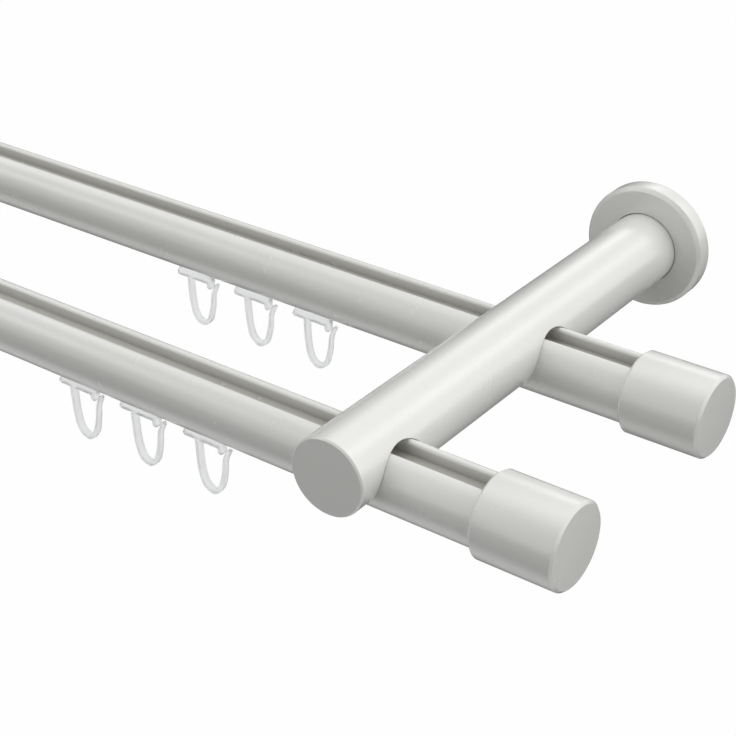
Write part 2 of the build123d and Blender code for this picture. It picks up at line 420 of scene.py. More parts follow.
class Shell:
    """Gathers grids and flat faces into one closed mesh, whose seams are merged when it is made."""

    def __init__(self) -> None:
        """Starts with no points and no faces."""
        self.points: list[np.ndarray] = []
        self.faces: list[list[int]] = []
        self.count = 0

    def grid(self, points: np.ndarray, wrap: bool = False, keep: Optional[np.ndarray] = None) -> None:
        """Adds a grid of points as quads.

        Args:
            points: rows by columns by three, in millimetres.
            wrap: joins the last column to the first.
            keep: which quads to make, one flag for each. All are made if it is left out.
        """
        rows, columns = points.shape[:2]
        index = self.count + np.arange(rows * columns).reshape(rows, columns)
        if wrap:
            index = np.column_stack([index, index[:, :1]])
        quads = np.stack([index[:-1, :-1], index[:-1, 1:], index[1:, 1:], index[1:, :-1]], axis=-1)
        quads = quads.reshape(-1, 4) if keep is None else quads[keep]
        self.points.append(points.reshape(-1, 3))
        self.faces += quads.tolist()
        self.count += rows * columns

    def flat(self, outline: np.ndarray) -> None:
        """Adds one flat face.

        Args:
            outline: its corners in order, in millimetres.
        """
        self.points.append(outline)
        self.faces.append(list(range(self.count, self.count + len(outline))))
        self.count += len(outline)

    def mesh(self, name: str) -> bpy.types.Mesh:
        """Makes the mesh in metres, with its seams merged, its faces outwards and its corners crisp.

        Args:
            name: the mesh's name.

        Returns:
            The mesh.
        """
        mesh = bpy.data.meshes.new(name)
        mesh.from_pydata(np.concatenate(self.points) * MM, [], self.faces)
        work = bmesh.new()
        work.from_mesh(mesh)
        bmesh.ops.remove_doubles(work, verts=work.verts, dist=WELD * MM)
        bmesh.ops.dissolve_degenerate(work, edges=work.edges, dist=SLIVER * MM)
        bmesh.ops.recalc_face_normals(work, faces=work.faces)
        work.to_mesh(mesh)
        work.free()
        mesh.shade_smooth()
        mesh.set_sharp_from_angle(angle=math.radians(SHARP_EDGE))
        return mesh


@dataclass
class Paintbox:
    """Keeps one material for each finish, so that pieces of one finish share it."""

    made: dict[str, bpy.types.Material]

    def of(self, finish: Finish) -> bpy.types.Material:
        """Gives a finish's material, which it makes the first time that it is asked for it.

        Args:
            finish: the finish.

        Returns:
            Its one material.
        """
        if finish.slot not in self.made:
            self.made[finish.slot] = finish.material()
        return self.made[finish.slot]


def place_piece(mesh: bpy.types.Mesh, finish: Finish, paints: Paintbox, body: str,
                node: str) -> bpy.types.Object:
    """Puts a mesh in the scene in the place of the CAD node that it stands for.

    Args:
        mesh: the finished mesh, in metres and in place.
        finish: what it is made of.
        paints: the shared materials.
        body: the CAD body that it moves with.
        node: the CAD node that it stands for.

    Returns:
        The new object.
    """
    mesh.materials.append(paints.of(finish))
    piece = bpy.data.objects.new(f"{node}_surface", mesh)
    bpy.context.scene.collection.objects.link(piece)
    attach(piece, body)
    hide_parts(node)
    log.info("%s: %d faces, %s", piece.name, len(mesh.polygons), finish.slot)
    return piece


@dataclass
class Pole:
    """An extruded round pole with an open groove on top and the gliders' track below."""

    row: Row
    wall: float = 1.6
    groove_width: float = 6.4
    groove_floor: float = 5.2
    groove_lip: float = 1.1
    slot_width: float = 3.2
    slot_lip: float = 0.3
    ledge: float = 7.4
    arc_step: float = 2.0  # degrees of the outside between two points
    bore_step: float = 4.0  # the same inside, which is hidden
    lip_steps: int = 10
    station_pitch: float = 20.0
    unshaded_height: float = 8.1  # height above the axis from which the groove has no painted shade
    shade_depth: float = 1.0  # depth over which the painted shade deepens below that

    def paint_groove_shade(self, mesh: bpy.types.Mesh, axis: np.ndarray) -> None:
        """Marks how much painted shade the groove takes, standing for its walls' shade: none at its lip,
        growing evenly with depth.

        Args:
            mesh: the pole's mesh.
            axis: a point on the pole's axis, in millimetres.
        """
        place = np.empty(len(mesh.vertices) * 3, np.float32)
        mesh.vertices.foreach_get("co", place)
        across, up = (place.reshape(-1, 3)[:, 1:] / MM - axis[1:]).T
        between_lips = np.abs(across) < self.groove_width / 2 + self.groove_lip
        above_floor = up > self.groove_floor - self.groove_lip
        # painted shade: none above the groove's upper wall, deepest towards its floor
        share = np.clip((self.unshaded_height - up) / self.shade_depth, 0, 1) * (between_lips & above_floor)
        mesh.attributes.new(PAINTED_SHADE, "FLOAT", "POINT").data.foreach_set("value", share.astype(np.float32))

    def half_profile(self, radius: float) -> tuple[np.ndarray, np.ndarray]:
        """The right half of the section, as (across, up) from the pole's axis.

        A lip is an arc that touches the outside and the flat side of its groove: its centre lies one lip
        radius inside the wall on both.

        Args:
            radius: the outside radius of the pole.

        Returns:
            The outside from the track's ledge up to the middle of the groove's floor, and the inside from the
            middle of that floor's underside down to the ledge.
        """
        groove, slot = self.groove_width / 2, self.slot_width / 2
        top_x = groove + self.groove_lip
        top_y = math.sqrt((radius - self.groove_lip) ** 2 - top_x ** 2)
        low_x = slot + self.slot_lip
        low_y = -math.sqrt((radius - self.slot_lip) ** 2 - low_x ** 2)
        top_angle = math.degrees(math.atan2(top_y, top_x))
        low_angle = math.degrees(math.atan2(low_y, low_x))
        outside = np.vstack([
            [(slot, -self.ledge)],
            arc((low_x, low_y), self.slot_lip, -180, low_angle, self.lip_steps),
            arc((0, 0), radius, low_angle, top_angle, round((top_angle - low_angle) / self.arc_step))[1:-1],
            arc((top_x, top_y), self.groove_lip, top_angle, 180, self.lip_steps),
            [(groove, self.groove_floor), (0, self.groove_floor)]])
        bore, under, cheek = radius - self.wall, self.groove_floor - self.wall, groove + self.wall
        high_angle = math.degrees(math.acos(cheek / bore))
        ledge_angle = -math.degrees(math.asin(self.ledge / bore))
        inside = np.vstack([
            [(0, under), (cheek, under)],
            arc((0, 0), bore, high_angle, ledge_angle, round((high_angle - ledge_angle) / self.bore_step)),
            [(slot, -self.ledge)]])
        return outside, inside

    def build(self, paints: Paintbox) -> bpy.types.Object:
        """Carries the mirrored profile along the pole: each station is the profile moved along X.

        Args:
            paints: the shared materials.

        Returns:
            The pole's object.
        """
        node = f"{self.row.value}_pole"
        low, high = box_mm(node)
        cap_low, cap_high = box_mm(f"{Hand.RIGHT.value}_{self.row.value}_cap")
        axis = (cap_low + cap_high) / 2
        outside, inside = self.half_profile((high[1] - low[1]) / 2)
        flip = np.array([-1, 1])
        profile = np.vstack([outside, outside[-2::-1] * flip, inside[-2::-1] * flip, inside[1:-1]])
        stations = np.linspace(low[0], high[0], round((high[0] - low[0]) / self.station_pitch) + 1)
        section = np.column_stack([np.zeros(len(profile)), profile + axis[1:]])
        points = section[None, :, :] + stations[:, None, None] * np.array([1.0, 0, 0])
        shell = Shell()
        shell.grid(points, wrap=True)
        shell.flat(points[0])
        shell.flat(points[-1])
        mesh = shell.mesh(node)
        self.paint_groove_shade(mesh, axis)
        return place_piece(mesh, WhiteLacquer(), paints, POLE_SET, node)


@dataclass
class EndCap:
    """A turned cup pushed over the end of a pole, with both outer edges broken."""

    hand: Hand
    row: Row
    end_wall: float = 3.0
    edge_break: float = 0.8
    edge_round: float = 0.3
    bore: float = 20.2
    columns: int = 128

    def build(self, paints: Paintbox) -> bpy.types.Object:
        """Turns the cup's section about the pole's axis, from the middle of its inner wall to its end face.

        Args:
            paints: the shared materials.

        Returns:
            The cap's object.
        """
        node = f"{self.hand.value}_{self.row.value}_cap"
        low, high = box_mm(node)
        radius, length = (high[2] - low[2]) / 2, high[0] - low[0]
        outward = 1.0 if self.hand is Hand.RIGHT else -1.0
        mouth = low[0] if self.hand is Hand.RIGHT else high[0]
        origin = np.array([mouth, (low[1] + high[1]) / 2, (low[2] + high[2]) / 2])
        bore = self.bore / 2
        section = np.array([(length - self.end_wall, bore), (0, bore), (0, radius - self.edge_break),
                            (self.edge_break, radius), (length - self.edge_break, radius),
                            (length, radius - self.edge_break), (length, 0)])
        profile = np.vstack([[(length - self.end_wall, 0)], round_corners(section, self.edge_round)])
        axis = np.array([outward, 0, 0])
        shell = Shell()
        shell.grid(spin(profile, origin, axis, np.array([0, 0, 1.0]), full_turn(self.columns)), wrap=True)
        return place_piece(shell.mesh(node), WhiteLacquer(), paints, POLE_SET, node)


@dataclass
class Rosette:
    """A turned disc round the arm at the wall, hollow behind, with a wide chamfer on its front edge."""

    hand: Hand
    bore: float = 22.8
    recess: float = 36.3
    front_wall: float = 3.15
    chamfer_face: float = 1.2
    chamfer_rim: float = 1.2
    edge_round: float = 0.3
    columns: int = 160

    def build(self, paints: Paintbox) -> bpy.types.Object:
        """Turns the disc's closed section about the arm's axis.

        Args:
            paints: the shared materials.

        Returns:
            The rosette's object.
        """
        node = f"{self.hand.value}_rosette"
        low, high = box_mm(node)
        radius, depth = (high[0] - low[0]) / 2, high[1] - low[1]
        origin = np.array([(low[0] + high[0]) / 2, high[1], (low[2] + high[2]) / 2])
        section = np.array([(depth - self.front_wall, self.bore / 2), (depth, self.bore / 2),
                            (depth, radius - self.chamfer_face), (depth - self.chamfer_rim, radius),
                            (0, radius), (0, self.recess / 2), (depth - self.front_wall, self.recess / 2)])
        profile = round_corners(section, self.edge_round, closed=True)
        profile = np.vstack([profile, profile[:1]])
        room = np.array([0, -1.0, 0])
        shell = Shell()
        shell.grid(spin(profile, origin, room, np.array([0, 0, 1.0]), full_turn(self.columns)), wrap=True)
        return place_piece(shell.mesh(node), WhiteLacquer(), paints, POLE_SET, node)


@dataclass
class ScrewPocket:
    """The visible end of a threaded hole that comes out through the underside of an arm."""

    start: np.ndarray  # a point on the screw's axis, as (towards the wall, up) from the arm's axis
    tilt: float  # degrees below level
    radius: float
    floor: float  # distance from start to the pocket's floor, along the axis

    def ring(self, around: np.ndarray, bar: Optional[float]) -> np.ndarray:
        """A ring of points on the hole's wall: where it meets the arm's surface, or at its floor.

        A point of the wall is start + across * radius * cos a + over * radius * sin a + along * s. On the
        arm's surface s is where that point's height is -sqrt(bar^2 - x^2).

        Args:
            around: the angles a in radians.
            bar: the arm's radius, or None for the floor.

        Returns:
            The points, as (across, towards the wall, up) from the arm's axis.
        """
        lean = math.radians(self.tilt)
        x, over = self.radius * np.cos(around), self.radius * np.sin(around)
        if bar is None:
            along = np.full_like(around, self.floor)
        else:
            along = (self.start[1] + over * math.cos(lean) + np.sqrt(bar ** 2 - x ** 2)) / math.sin(lean)
        y = self.start[0] + over * math.sin(lean) + along * math.cos(lean)
        z = self.start[1] + over * math.cos(lean) - along * math.sin(lean)
        return np.column_stack([x, y, z])


@dataclass
class BracketArm:
    """A solid round bar with a saddle for each pole, open underneath, and its grub screws' holes."""

    hand: Hand
    edge_break: float = 0.5
    edge_round: float = 0.15
    saddle_bore: float = 20.2
    saddle_edge: float = 0.2
    spigot_bore: float = 14.1
    spigot_depth: float = 16.0
    pole_screw_hole: float = 4.1
    pole_screw_tilt: float = 25.0  # degrees below level, as the next
    arm_screw_hole: float = 5.1
    arm_screw_tilt: float = 90.0
    arm_screw_to_wall: float = 12.0
    pocket_floor: float = 0.4  # metal left between a pocket's floor and the bore that it would break into
    saddle_columns: int = 64
    crown_columns: int = 18
    edge_steps: int = 4
    saddle_rows: int = 10
    row_pitch: float = 2.4
    first_row: float = 0.35
    patch_rings: int = 4
    patch_margin: float = 0.7

    def mouth(self, bar: float, bore: float, height: float) -> np.ndarray:
        """Half of the line where a saddle meets the bar, on the +X side, from the underside up to its top.

        A point at angle p about the pole is bore * sin p towards the wall and bore * cos p up. Its place
        across is where the bar has that height. The angle goes from where the saddle leaves the underside to
        zero as the square of a cosine, so that points crowd at both ends, where the line turns fastest.

        Args:
            bar: the radius of the bar.
            bore: the radius of the saddle.
            height: the height of the pole's axis from the arm's.

        Returns:
            Points as (across, away from the pole's axis, up).
        """
        t = np.linspace(0, 1, self.saddle_columns + 1)
        p = np.arccos((-bar - height) / bore) * np.cos(np.pi * t / 2) ** 2
        z = height + bore * np.cos(p)
        return np.column_stack([np.sqrt(np.maximum(bar ** 2 - z ** 2, 0)), bore * np.sin(p), z])

    def saddle(self, shell: Shell, bar: float, to_wall: float, height: float, origin: np.ndarray) -> None:
        """Adds the inside of one saddle: two walls from edge to edge across the bar, each with rounded edges.

        A rounded edge goes from the bar's surface to the bore as a quarter turn: its bore shrinks with the
        sine and its depth below the surface grows with one less the cosine.

        Args:
            shell: takes the faces.
            bar: the radius of the bar.
            to_wall: the pole's axis from the arm's origin, towards the wall.
            height: the pole's axis from the arm's axis, upwards.
            origin: the arm's axis at the wall.
        """
        quarter = np.linspace(0, np.pi / 2, self.edge_steps + 1)
        edge = [self.mouth(bar - self.saddle_edge * (1 - math.cos(a)),
                           self.saddle_bore / 2 + self.saddle_edge * (1 - math.sin(a)), height)
                for a in quarter]
        t = np.linspace(1, -1, self.saddle_rows + 1)[1:-1, None, None]
        across = edge[-1][None, :, :] * np.concatenate([t, np.ones_like(t), np.ones_like(t)], axis=2)
        flip = np.array([-1, 1, 1])
        rows = np.concatenate([np.array(edge), across, np.array(edge[::-1]) * flip])
        for side in (-1, 1):
            shell.grid(origin + rows * np.array([1, side, 1]) + np.array([0, to_wall, 0]))

    def stations(self, length: float) -> np.ndarray:
        """Shares of a span's length at which it has rows, close together at its two ends."""
        inner = np.linspace(self.first_row, length - self.first_row, max(2, round(length / self.row_pitch)))
        return np.concatenate([[0], inner, [length]]) / length

    def span(self, shell: Shell, start: np.ndarray, end: np.ndarray, skin: np.ndarray, bar: float,
             origin: np.ndarray, pockets: list[ScrewPocket]) -> None:
        """Adds the bar's outside between two lines round it, with the pockets that come out there.

        Args:
            shell: takes the faces.
            start: the line nearer the wall, one distance for each column.
            end: the line nearer the room.
            skin: the columns' (across, up) places.
            bar: the radius of the bar.
            origin: the arm's axis at the wall.
            pockets: the holes that open in this span.
        """
        share = self.stations(float(np.abs(end - start).mean()))[:, None]
        along = start + (end - start) * share
        rows = np.stack([np.broadcast_to(skin[:, 0], along.shape), along,
                         np.broadcast_to(skin[:, 1], along.shape)], axis=2)
        keep = np.ones((rows.shape[0] - 1, rows.shape[1] - 1), bool)
        for pocket in pockets:
            rim = pocket.ring(full_turn(self.saddle_columns), bar)
            low, high = rim.min(0) - self.patch_margin, rim.max(0) + self.patch_margin
            bottom = len(skin) // 2
            lines = rows[:, bottom, 1]
            j0, j1 = np.flatnonzero(lines > high[1])[-1], np.flatnonzero(lines < low[1])[0]
            columns = np.flatnonzero((skin[:, 1] < 0) & (np.abs(skin[:, 0]) > high[0]))
            i0, i1 = columns[columns < bottom][-1], columns[columns > bottom][0]
            keep[j0:j1, i0:i1] = False
            border = np.concatenate([rows[j0, i0:i1], rows[j0:j1, i1],
                                     rows[j1, i1:i0:-1], rows[j1:j0:-1, i0]])
            middle, size = (rim.min(0) + rim.max(0)) / 2, (rim.max(0) - rim.min(0)) / 2
            around = np.arctan2((border[:, 1] - middle[1]) / size[1], (border[:, 0] - middle[0]) / size[0])
            rim = pocket.ring(around, bar)
            share = np.linspace(0, 1, self.patch_rings + 1)[:, None, None]
            patch = border[None, :, :] + (rim - border)[None, :, :] * share
            patch[1:-1, :, 2] = -np.sqrt(bar ** 2 - patch[1:-1, :, 0] ** 2)
            floor = pocket.ring(around, None)
            pit = np.stack([rim, floor, np.broadcast_to(floor.mean(0), floor.shape)])
            shell.grid(origin + patch, wrap=True)
            shell.grid(origin + pit, wrap=True)
        shell.grid(origin + rows, keep=keep)

    def build(self, paints: Paintbox) -> bpy.types.Object:
        """Builds the bar in three spans that the saddles part, with its nose and its bore for the spigot.

        Args:
            paints: the shared materials.

        Returns:
            The arm's object.
        """
        node = f"{self.hand.value}_arm"
        low, high = box_mm(node)
        bar = (high[0] - low[0]) / 2
        origin = np.array([(low[0] + high[0]) / 2, 0, (low[2] + high[2]) / 2])
        caps = [box_mm(f"{self.hand.value}_{row.value}_cap") for row in (Row.REAR, Row.FRONT)]
        poles = [sum(cap) / 2 - origin for cap in caps]
        height = float(poles[0][2])
        edge = self.mouth(bar, self.saddle_bore / 2 + self.saddle_edge, height)
        crown = np.linspace(math.atan2(edge[-1, 2], edge[-1, 0]), np.pi / 2, self.crown_columns + 1)[1:]
        half = np.vstack([edge[:, [0, 2]], bar * np.column_stack([np.cos(crown), np.sin(crown)])])
        gape = np.concatenate([edge[:, 1], np.zeros(self.crown_columns)])
        skin = np.vstack([half[::-1] * np.array([-1, 1]), half[1:]])
        gape = np.concatenate([gape[::-1], gape[1:]])
        nose_start, wall_end = low[1] + self.edge_break + self.edge_round, np.full(len(skin), high[1])
        rear, front = float(poles[0][1]), float(poles[1][1])
        pole_pockets = [ScrewPocket(np.array([y, height]), self.pole_screw_tilt, self.pole_screw_hole / 2,
                                    self.saddle_bore / 2 + self.pocket_floor) for y in (rear, front)]
        arm_pocket = ScrewPocket(np.array([-self.arm_screw_to_wall, 0]), self.arm_screw_tilt,
                                 self.arm_screw_hole / 2, self.spigot_bore / 2 + self.pocket_floor)
        shell = Shell()
        self.span(shell, wall_end, rear + gape, skin, bar, origin, [arm_pocket, pole_pockets[0]])
        self.span(shell, rear - gape, front + gape, skin, bar, origin, [pole_pockets[1]])
        self.span(shell, front - gape, np.full(len(skin), nose_start), skin, bar, origin, [])
        for y in (rear, front):
            self.saddle(shell, bar, y, height, origin)
        turns = np.arctan2(skin[:, 1], skin[:, 0])
        nose = round_corners(np.array([(nose_start, bar), (low[1] + self.edge_break, bar),
                                       (low[1], bar - self.edge_break), (low[1], 0)]), self.edge_round)
        spigot = self.spigot_bore / 2
        socket = np.array([(high[1], bar), (high[1], spigot), (high[1] - self.spigot_depth, spigot),
                           (high[1] - self.spigot_depth, 0)])
        for profile in (nose, socket):
            shell.grid(spin(profile, origin, np.array([0, 1.0, 0]), np.array([1.0, 0, 0]), -turns))
        return place_piece(shell.mesh(node), WhiteLacquer(), paints, POLE_SET, node)


@dataclass
class Glider:
    """A moulded glider: a head in the track, a neck, a foot plate with a nub, and an open, tapering hook."""

    row: Row
    number: int
    thickness: float = 2.2
    head: tuple[float, float, float] = (9.0, 7.0, 2.0)
    head_corner: float = 2.0
    head_bevel: float = 0.5
    neck_length: float = 6.0
    neck_height: float = 3.4
    neck_centre: float = 7.4
    foot_length: float = 14.8
    foot_height: float = 4.2
    foot_bevel: float = 1.8
    toe: float = 0.8
    nub_width: float = 2.0
    nub_drop: float = 1.7
    leg_width: float = 1.6
    tip_width: float = 1.2
    tip_thickness: float = 1.5
    edge_round: float = 0.3
    round_steps: int = 3
    round_from: float = 50.0  # degrees between two faces, above which their edge is rounded
    hook_steps: int = 56
    arc_steps: int = 8
    sunk: float = 0.3  # how far the neck stands inside the head
    # the middle of the hook, from the foot's lower edge down and round to the free tip
    route: tuple[tuple[float, float], ...] = (
        (5.2, 0.4), (5.5, -4.9), (6.2, -10.8), (7.9, -14.3), (10.2, -15.3),
        (12.4, -14.1), (13.8, -11.0), (14.7, -6.5), (15.1, -3.1), (16.5, 0.1))

    def centre_line(self) -> tuple[np.ndarray, np.ndarray]:
        """A natural cubic spline through the route, with its parameter the distance along the route's chords.

        Its second derivatives solve one tridiagonal system, in which each inner knot's slope agrees from both
        sides.

        Returns:
            The points and the unit tangents at even steps.
        """
        knots = np.array(self.route)
        gaps = np.linalg.norm(np.diff(knots, axis=0), axis=1)
        at = np.concatenate([[0], np.cumsum(gaps)])
        system = np.diag(np.concatenate([[1], 2 * (gaps[:-1] + gaps[1:]), [1]]))
        system += np.diag(np.concatenate([gaps[:-1], [0]]), -1) + np.diag(np.concatenate([[0], gaps[1:]]), 1)
        slope = np.diff(knots, axis=0) / gaps[:, None]
        bend = np.linalg.solve(system, np.vstack([[0, 0], 6 * np.diff(slope, axis=0), [0, 0]]))
        first = np.interp(0.0, -knots[:2, 1] + knots[0, 1], at[:2]) + knots[0, 1]
        s = np.linspace(first, at[-1], self.hook_steps + 1)
        k = np.clip(np.searchsorted(at, s, side="right") - 1, 0, len(gaps) - 1)
        h, a, b = gaps[k][:, None], (at[k + 1] - s)[:, None], (s - at[k])[:, None]
        points = (bend[k] * a ** 3 + bend[k + 1] * b ** 3) / (6 * h) \
            + (knots[k] / h - bend[k] * h / 6) * a + (knots[k + 1] / h - bend[k + 1] * h / 6) * b
        tangents = np.gradient(points, s, axis=0)
        return points, tangents / np.linalg.norm(tangents, axis=1, keepdims=True)

    def half_thickness(self, outline: np.ndarray) -> np.ndarray:
        """Half of the moulding's thickness: full up to the hook's lowest point, then thinner with height.

        Args:
            outline: the outline's points, as (along, up) from the foot's lower left corner.

        Returns:
            The half thickness at each point.
        """
        deepest, low = min(self.route, key=lambda point: point[1])
        high = self.route[-1][1]
        rise = np.clip((outline[:, 1] - low) / (high - low), 0, 1) * (outline[:, 0] > deepest)
        beyond = outline[:, 0] <= self.foot_length - self.nub_width
        rise = rise * ~(beyond & (outline[:, 1] >= -self.nub_drop))
        return (self.thickness + (self.tip_thickness - self.thickness) * rise) / 2

    def blade(self, name: str, corner: np.ndarray) -> bpy.types.Mesh:
        """Makes the flat moulding of hook, foot and neck: the same outline on both faces, joined all round.

        The hook's edges lie half its width each side of its middle line. The width goes evenly from leg to
        tip. Each face has a strip of quads along the hook, one face at its tip and one for foot and neck.

        Args:
            name: the mesh's name.
            corner: the foot's lower left corner, on the moulding's middle plane.

        Returns:
            The mesh, in metres, with its edges still sharp.
        """
        line, tangent = self.centre_line()
        normal = np.column_stack([-tangent[:, 1], tangent[:, 0]])
        width = np.linspace(self.leg_width, self.tip_width, len(line))[:, None]
        left, right = line - normal * width / 2, line + normal * width / 2
        left[0, 1] = right[0, 1] = 0.0
        heading = math.degrees(math.atan2(tangent[-1, 1], tangent[-1, 0]))
        tip = arc(tuple(line[-1]), self.tip_width / 2, heading - 90, heading + 90, self.arc_steps)[1:-1]
        nub_left, waist = self.foot_length - self.nub_width, self.nub_width / 2 - self.nub_drop
        nub = arc((nub_left + self.nub_width / 2, waist), self.nub_width / 2, 180, 360, self.arc_steps)
        neck = self.neck_centre + np.array([-0.5, 0.5]) * self.neck_length
        neck_top = self.foot_height + self.neck_height + self.sunk
        foot = np.vstack([
            [(nub_left, 0)], nub,
            [(self.foot_length, self.foot_height), (neck[1], self.foot_height), (neck[1], neck_top),
             (neck[0], neck_top), (neck[0], self.foot_height), (self.foot_bevel, self.foot_height),
             (0, self.toe), (self.toe, 0)]])
        inner, outer = (right, left) if right[0, 0] > left[0, 0] else (left, right)
        rim = np.vstack([outer, tip if inner is right else tip[::-1], inner[::-1], foot])
        half = self.half_thickness(rim)
        count, steps = len(rim), len(outer)
        end = steps + len(tip)
        last = end + steps - 1
        half[last + 1:] = self.thickness / 2
        points = np.concatenate([np.column_stack([rim[:, 0], side * half, rim[:, 1]]) for side in (-1, 1)])
        j = np.arange(steps - 1)
        strip = np.column_stack([j, j + 1, last - j - 1, last - j])
        faces = []
        for first in (0, count):
            faces += (strip + first).tolist()
            faces.append(list(range(first + steps - 1, first + end + 1)))
            faces.append([first, *range(first + last, first + count)])
        here = np.arange(count)
        there = np.roll(here, -1)
        faces += np.column_stack([here, there, there + count, here + count]).tolist()
        mesh = bpy.data.meshes.new(name)
        mesh.from_pydata((points + corner) * MM, [], faces)
        return mesh

    def head_grid(self, corner: np.ndarray) -> np.ndarray:
        """The head as rings of a rounded rectangle: a smaller one above the bevel, closed top and bottom.

        A ring is its corners' centres plus their radius times (cos a, sin a). The bevel shrinks that radius.

        Args:
            corner: the foot's lower left corner, on the moulding's middle plane.

        Returns:
            A grid of points, one row for each ring.
        """
        length, width, height = self.head
        quarter = np.repeat(np.arange(4), self.arc_steps + 1)
        angle = np.radians(quarter * 90 + np.tile(np.linspace(0, 90, self.arc_steps + 1), 4))
        signs = np.array([(1, 1), (-1, 1), (-1, -1), (1, -1)])[quarter]
        centres = signs * np.array([length / 2 - self.head_corner, width / 2 - self.head_corner])
        direction = np.column_stack([np.cos(angle), np.sin(angle)])
        base = self.foot_height + self.neck_height
        soft = self.edge_round
        rings = [(0.0, self.head_corner - soft), (soft, self.head_corner),
                 (height - self.head_bevel, self.head_corner), (height, self.head_corner - self.head_bevel)]
        rows = [np.column_stack([centres + direction * r, np.full(len(angle), base + z)]) for z, r in rings]
        closed = [rows[0] * np.array([0, 0, 1]), *rows, rows[-1] * np.array([0, 0, 1])]
        return np.stack(closed) + corner + np.array([self.neck_centre, 0, 0])

    def build(self, paints: Paintbox) -> bpy.types.Object:
        """Makes the blade with rounded edges, adds the head, and hangs the glider on its own body.

        Args:
            paints: the shared materials.

        Returns:
            The glider's object.
        """
        node = f"{self.row.value}_glider_{self.number}"
        low, high = box_mm(node)
        corner = np.array([low[0], (low[1] + high[1]) / 2,
                           high[2] - self.head[2] - self.neck_height - self.foot_height])
        glider = self.blade(node, corner)
        head = Shell()
        head.grid(self.head_grid(corner), wrap=True)
        crown = head.mesh(f"{node}_head")
        work = bmesh.new()
        work.from_mesh(glider)
        bmesh.ops.recalc_face_normals(work, faces=work.faces)
        rims = [e for e in work.edges if e.calc_face_angle(0) > math.radians(self.round_from)]
        bmesh.ops.bevel(work, geom=rims, offset=self.edge_round * MM, segments=self.round_steps, profile=0.5,
                        affect="EDGES", clamp_overlap=True)
        work.from_mesh(crown)
        bmesh.ops.recalc_face_normals(work, faces=work.faces)
        work.to_mesh(glider)
        work.free()
        bpy.data.meshes.remove(crown)
        glider.shade_smooth()
        glider.set_sharp_from_angle(angle=math.radians(SHARP_EDGE))
        return place_piece(glider, MilkyPlastic(), paints, node, node)


@dataclass
class HiddenMetal:
    """The wall plates and grub screws, whose CAD forms are right and only take a finish."""

    plate: Finish = ZincPlate()
    screw: Finish = ScrewSteel()

    def dress(self, nodes: dict[str, bpy.types.Object], paints: Paintbox) -> None:
        """Gives each metal node its material.

        Args:
            nodes: the frame's nodes by name.
            paints: the shared materials.
        """
        for name, node in nodes.items():
            if not name.endswith(("plate", "screw")):
                continue
            finish = self.plate if name.endswith("plate") else self.screw
            node.data.materials.clear()
            node.data.materials.append(paints.of(finish))
            node.data.shade_smooth()
            log.info("%s: CAD form, %s", name, finish.slot)


@dataclass(frozen=True)
class Glow:
    """One soft light of the studio, far away.

    Its radiance at angle a from its direction is level * exp(narrow * (cos a - 1)).
    """

    name: str
    direction: tuple[float, float, float]
    narrow: float
    level: float

    def add(self, tree: bpy.types.NodeTree, way: bpy.types.NodeSocket,
            before: Optional[bpy.types.NodeSocket]) -> bpy.types.NodeSocket:
        """Adds this light's radiance to what the lights before it give.

        Args:
            tree: the surroundings' node tree.
            way: the direction that is looked in.
            before: the sum so far, or None.

        Returns:
            The new sum.
        """
        unit = np.array(self.direction) / np.linalg.norm(self.direction)
        cosine = add_node(tree, "ShaderNodeVectorMath", {1: tuple(unit)}, {0: way}, operation="DOT_PRODUCT",
                          label=self.name)
        falloff = add_node(tree, "ShaderNodeMath", {1: self.narrow, 2: -self.narrow},
                           {0: cosine.outputs["Value"]}, operation="MULTIPLY_ADD")
        power = add_node(tree, "ShaderNodeMath", links={0: falloff.outputs[0]}, operation="EXPONENT")
        if before is None:
            return add_node(tree, "ShaderNodeMath", {1: self.level}, {0: power.outputs[0]},
                            operation="MULTIPLY").outputs[0]
        return add_node(tree, "ShaderNodeMath", {1: self.level}, {0: power.outputs[0], 2: before},
                        operation="MULTIPLY_ADD").outputs[0]


